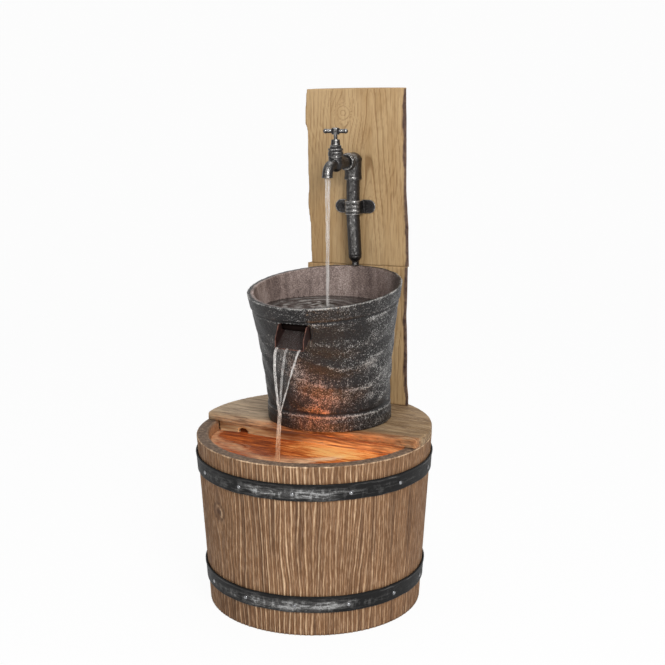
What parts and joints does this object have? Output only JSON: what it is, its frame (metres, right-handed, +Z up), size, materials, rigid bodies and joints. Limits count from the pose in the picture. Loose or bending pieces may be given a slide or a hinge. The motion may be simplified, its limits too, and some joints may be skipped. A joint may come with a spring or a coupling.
{
  "type": "garden water fountain",
  "caption": "Half-barrel fountain: a tap on a log post pours into a leaning pail, which spills from a chute into the barrel, with a pump under the deck.",
  "frame": {"origin": "centre of the barrel's foot ring, on the ground", "axes": "+Z up, -Y towards the open water in front, +X to the right of someone facing the front from -Y"},
  "size_m": [0.4224, 0.424, 0.9019],
  "materials": {
    "oak_tub": "cast resin, deep oak grain, brown stain",
    "oak_deck": "cast resin, weathered oak board",
    "oak_post": "cast resin, pale sawn oak with bark edges",
    "hoop_iron": "black iron with rubbed silver edges",
    "rivet_metal": "dull silver",
    "pail_metal": "hammered dark pewter, dry-brushed silver",
    "copper": "aged copper",
    "tap_metal": "dark gunmetal, polished on the edges",
    "steel": "zinc plated",
    "dowel_wood": "beech",
    "rubber": "black",
    "hose": "black-green soft hose",
    "pump_plastic": "black moulded",
    "magnet": "ferrite in plastic",
    "ceramic": "ground pin",
    "lens": "amber"
  },
  "bodies": {
    "basin": {"barrel_tub": "oak_tub", "upper_hoop": "hoop_iron", "lower_hoop": "hoop_iron", "hoop_rivets": "rivet_metal", "cable_grommet": "rubber", "pump_body": "pump_plastic", "suction_feet": "rubber", "volute_cover": "pump_plastic", "shaft_bushes": "rubber", "impeller_shaft": "ceramic", "pump_outlet": "pump_plastic", "pump_gland": "rubber", "led_body": "pump_plastic", "led_lens": "lens", "led_bezel": "steel"},
    "top_unit": {"deck_board": "oak_deck", "deck_apron": "oak_deck", "bucket": "pail_metal", "spout_chute": "copper", "post_lower": "oak_post", "post_upper": "oak_post", "post_dowels": "dowel_wood", "lower_back_cover": "oak_post", "upper_back_cover": "oak_post", "cover_screws": "steel", "deck_screws": "steel", "riser_pipe": "tap_metal", "pipe_foot": "tap_metal", "pipe_elbow": "tap_metal", "pipe_clip": "tap_metal", "clip_screws": "steel", "union_nut": "tap_metal", "tap_body": "tap_metal", "tap_bonnet": "tap_metal", "gland_packing": "rubber", "gland_nut": "tap_metal", "hose_tail": "pump_plastic", "riser_hose": "hose", "hose_clamp": "steel"},
    "valve": {"jumper_valve": "copper", "tap_washer": "rubber"},
    "handle": {"spindle": "tap_metal", "t_handle": "tap_metal", "handle_screw": "steel"},
    "impeller": {"pump_impeller": "magnet"},
    "strainer": {"pump_strainer": "pump_plastic"},
    "dial": {"flow_dial": "pump_plastic"},
    "bung": {"drain_plug": "rubber", "drain_seal": "rubber"}
  },
  "joints": [
    {"name": "top_unit_lift", "type": "slide", "parent": "basin", "child": "top_unit", "axis": [0, 0, 1], "range_m": [0, 0.25]},
    {"name": "valve_lift", "type": "slide", "parent": "top_unit", "child": "valve", "axis": [0, 0, 1], "range_m": [-0.002, 0.001]},
    {"name": "handle_turn", "type": "hinge", "parent": "valve", "child": "handle", "pos_m": [0.0081, 0.0722, 0.8293], "axis": [0, 0, 1], "range_deg": [-180, 90]},
    {"name": "impeller_spin", "type": "hinge", "parent": "basin", "child": "impeller", "pos_m": [0.0081, 0.118, 0.044], "axis": [1, 0, 0], "continuous": true},
    {"name": "strainer_pull", "type": "slide", "parent": "basin", "child": "strainer", "axis": [-1, 0, 0], "range_m": [0, 0.04]},
    {"name": "dial_turn", "type": "hinge", "parent": "strainer", "child": "dial", "pos_m": [-0.03, 0.118, 0.044], "axis": [-1, 0, 0], "range_deg": [0, 90]},
    {"name": "bung_pull", "type": "slide", "parent": "basin", "child": "bung", "axis": [0, 1, 0], "range_m": [0, 0.04]}
  ],
  "couplings": [
    {"joint": "handle_turn", "follows": "valve_lift", "rad_per_m": 1570.8}
  ]
}
